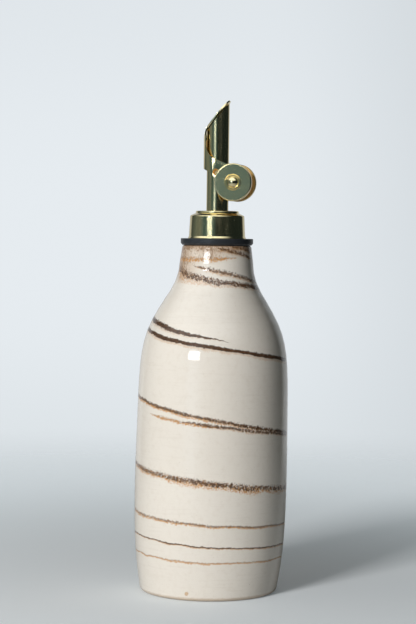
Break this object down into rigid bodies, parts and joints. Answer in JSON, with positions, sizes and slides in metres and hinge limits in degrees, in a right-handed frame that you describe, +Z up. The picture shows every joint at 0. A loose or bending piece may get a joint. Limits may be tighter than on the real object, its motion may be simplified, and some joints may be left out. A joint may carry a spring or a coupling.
{
  "type": "oil dispenser",
  "caption": "Hand-thrown glazed clay oil bottle with a rubber-stoppered brass pouring spout that a weighted flap keeps closed until the bottle is tipped.",
  "frame": {"origin": "centre of the foot's flat face, on the surface that the bottle stands on", "axes": "+Z up, +X towards the side where the spout's cut comes to its tip, Y along the flap's pivot"},
  "size_m": [0.0735, 0.0732, 0.2352],
  "materials": {
    "glazed_clay": "gloss glaze over cream clay, with thin brown and tan swirls of darker clay",
    "black_rubber": "matt black rubber",
    "polished_brass": "polished pale brass"
  },
  "bodies": {
    "dispenser": {"bottle": "glazed_clay", "stopper": "black_rubber", "cap": "polished_brass", "spout_tube": "polished_brass"},
    "pouring_flap": {"flap": "polished_brass", "weight_near": "polished_brass", "weight_far": "polished_brass", "rivet": "polished_brass"}
  },
  "joints": [
    {"name": "flap_pivot", "type": "hinge", "parent": "dispenser", "child": "pouring_flap", "pos_m": [0.00232, 0, 0.2008], "axis": [0, -1, 0], "range_deg": [0, 38]}
  ]
}
